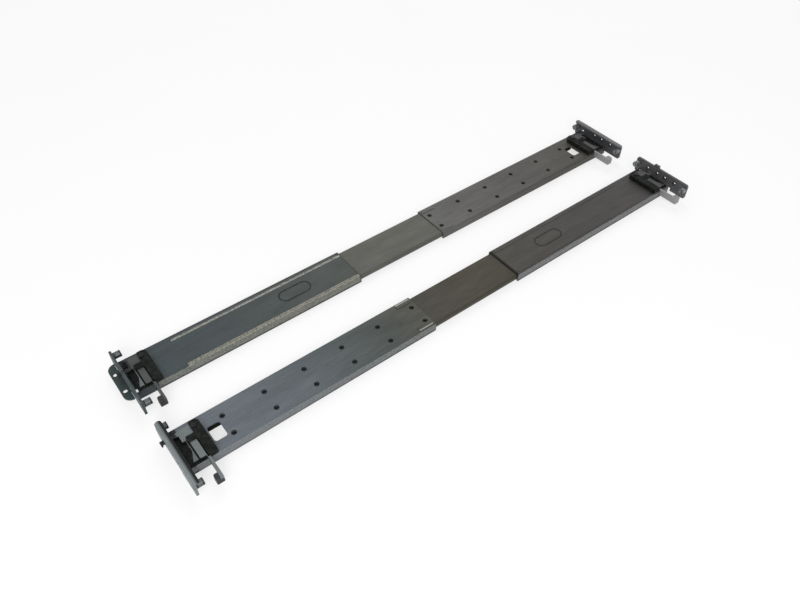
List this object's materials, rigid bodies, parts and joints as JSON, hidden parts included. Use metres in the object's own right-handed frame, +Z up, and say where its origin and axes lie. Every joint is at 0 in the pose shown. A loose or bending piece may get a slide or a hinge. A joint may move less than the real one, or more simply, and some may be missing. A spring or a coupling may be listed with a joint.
{
  "type": "sliding server rail pair",
  "caption": "Pair of telescopic server rack rails: ball-bearing slides in sheet-steel brackets, with an adjustable rear bracket and sprung latches on the end flanges.",
  "frame": {"origin": "centre of the pair's bounding box, on the surface the rails lie on", "axes": "+X along the rails, towards the right rail's rear flange and the left rail's front flange; +Y across the pair from the right rail to the left one; +Z up, out of the rails' cabinet side"},
  "size_m": [0.7356, 0.198, 0.0309],
  "materials": {
    "galvanised_steel": "satin",
    "bright_steel": "satin",
    "zinc_plated_steel": "satin",
    "turned_steel": "satin",
    "spring_steel": "satin",
    "cage_steel": "satin",
    "ball_steel": "polished",
    "black_plastic": "matte",
    "black_rubber": "matte"
  },
  "bodies": {
    "right_frame": {"right_front_bracket": "galvanised_steel", "right_front_flange": "galvanised_steel", "right_front_bushes": "turned_steel", "right_front_latch_housing": "black_plastic", "right_front_latch_pin": "turned_steel", "right_front_latch_spring": "spring_steel", "right_cabinet_member": "galvanised_steel", "right_member_bumper": "black_rubber"},
    "right_front_latch": {"right_front_latch_lever": "zinc_plated_steel"},
    "right_rear": {"right_rear_bracket": "galvanised_steel", "right_rear_flange": "galvanised_steel", "right_rear_bushes": "turned_steel", "right_rear_latch_housing": "black_plastic", "right_rear_latch_pin": "turned_steel", "right_rear_latch_spring": "spring_steel", "right_cable_arm_plate": "zinc_plated_steel"},
    "right_rear_latch": {"right_rear_latch_lever": "zinc_plated_steel"},
    "right_intermediate": {"right_intermediate_member": "bright_steel", "right_intermediate_catch": "black_plastic"},
    "right_outer_cage": {"right_outer_ball_cage": "cage_steel", "right_outer_balls": "ball_steel"},
    "right_inner": {"right_inner_member": "bright_steel", "right_release_pin": "turned_steel"},
    "right_inner_cage": {"right_inner_ball_cage": "cage_steel", "right_inner_balls": "ball_steel"},
    "right_release": {"right_release_lever": "spring_steel"},
    "left_frame": {"left_front_bracket": "galvanised_steel", "left_front_flange": "galvanised_steel", "left_front_bushes": "turned_steel", "left_front_latch_housing": "black_plastic", "left_front_latch_pin": "turned_steel", "left_front_latch_spring": "spring_steel", "left_cabinet_member": "galvanised_steel", "left_member_bumper": "black_rubber"},
    "left_front_latch": {"left_front_latch_lever": "zinc_plated_steel"},
    "left_rear": {"left_rear_bracket": "galvanised_steel", "left_rear_flange": "galvanised_steel", "left_rear_bushes": "turned_steel", "left_rear_latch_housing": "black_plastic", "left_rear_latch_pin": "turned_steel", "left_rear_latch_spring": "spring_steel", "left_cable_arm_plate": "zinc_plated_steel"},
    "left_rear_latch": {"left_rear_latch_lever": "zinc_plated_steel"},
    "left_intermediate": {"left_intermediate_member": "bright_steel", "left_intermediate_catch": "black_plastic"},
    "left_outer_cage": {"left_outer_ball_cage": "cage_steel", "left_outer_balls": "ball_steel"},
    "left_inner": {"left_inner_member": "bright_steel", "left_release_pin": "turned_steel"},
    "left_inner_cage": {"left_inner_ball_cage": "cage_steel", "left_inner_balls": "ball_steel"},
    "left_release": {"left_release_lever": "spring_steel"}
  },
  "joints": [
    {"name": "right_front_latch_pivot", "type": "hinge", "parent": "right_frame", "child": "right_front_latch", "pos_m": [-0.3281, -0.0325, 0.0126], "axis": [0, 0, -1], "range_deg": [0, 7], "stiffness_Nm_per_rad": 1.5, "springref_deg": -1.15},
    {"name": "right_rear_depth", "type": "slide", "parent": "right_frame", "child": "right_rear", "axis": [1, 0, 0], "range_m": [-0.032, 0.145]},
    {"name": "right_rear_latch_pivot", "type": "hinge", "parent": "right_rear", "child": "right_rear_latch", "pos_m": [0.3321, -0.0325, 0.0128], "axis": [0, 0, 1], "range_deg": [0, 5], "stiffness_Nm_per_rad": 1.5, "springref_deg": -1.15},
    {"name": "right_intermediate_slide", "type": "slide", "parent": "right_frame", "child": "right_intermediate", "axis": [-1, 0, 0], "range_m": [0, 0.305]},
    {"name": "right_outer_cage_slide", "type": "slide", "parent": "right_frame", "child": "right_outer_cage", "axis": [-1, 0, 0], "range_m": [0, 0.1525]},
    {"name": "right_inner_slide", "type": "slide", "parent": "right_intermediate", "child": "right_inner", "axis": [-1, 0, 0], "range_m": [0, 0.335]},
    {"name": "right_inner_cage_slide", "type": "slide", "parent": "right_intermediate", "child": "right_inner_cage", "axis": [-1, 0, 0], "range_m": [0, 0.1675]},
    {"name": "right_release_pivot", "type": "hinge", "parent": "right_inner", "child": "right_release", "pos_m": [-0.1305, -0.0455, 0.001], "axis": [0, 0, 1], "range_deg": [0, 5], "stiffness_Nm_per_rad": 0.5},
    {"name": "left_front_latch_pivot", "type": "hinge", "parent": "left_frame", "child": "left_front_latch", "pos_m": [0.3281, 0.08, 0.0126], "axis": [0, 0, 1], "range_deg": [0, 7], "stiffness_Nm_per_rad": 1.5, "springref_deg": -1.15},
    {"name": "left_rear_depth", "type": "slide", "parent": "left_frame", "child": "left_rear", "axis": [-1, 0, 0], "range_m": [-0.032, 0.145]},
    {"name": "left_rear_latch_pivot", "type": "hinge", "parent": "left_rear", "child": "left_rear_latch", "pos_m": [-0.3321, 0.08, 0.0128], "axis": [0, 0, -1], "range_deg": [0, 5], "stiffness_Nm_per_rad": 1.5, "springref_deg": -1.15},
    {"name": "left_intermediate_slide", "type": "slide", "parent": "left_frame", "child": "left_intermediate", "axis": [1, 0, 0], "range_m": [0, 0.305]},
    {"name": "left_outer_cage_slide", "type": "slide", "parent": "left_frame", "child": "left_outer_cage", "axis": [1, 0, 0], "range_m": [0, 0.1525]},
    {"name": "left_inner_slide", "type": "slide", "parent": "left_intermediate", "child": "left_inner", "axis": [1, 0, 0], "range_m": [0, 0.335]},
    {"name": "left_inner_cage_slide", "type": "slide", "parent": "left_intermediate", "child": "left_inner_cage", "axis": [1, 0, 0], "range_m": [0, 0.1675]},
    {"name": "left_release_pivot", "type": "hinge", "parent": "left_inner", "child": "left_release", "pos_m": [0.1305, 0.067, 0.001], "axis": [0, 0, -1], "range_deg": [0, 5], "stiffness_Nm_per_rad": 0.5},
    {"name": "left_rail_spacing", "type": "slide", "parent": "right_frame", "child": "left_frame", "axis": [0, 1, 0], "range_m": [0, 0.35]}
  ],
  "couplings": [
    {"joint": "right_outer_cage_slide", "follows": "right_intermediate_slide", "ratio": 0.5},
    {"joint": "right_inner_cage_slide", "follows": "right_inner_slide", "ratio": 0.5},
    {"joint": "left_outer_cage_slide", "follows": "left_intermediate_slide", "ratio": 0.5},
    {"joint": "left_inner_cage_slide", "follows": "left_inner_slide", "ratio": 0.5}
  ]
}
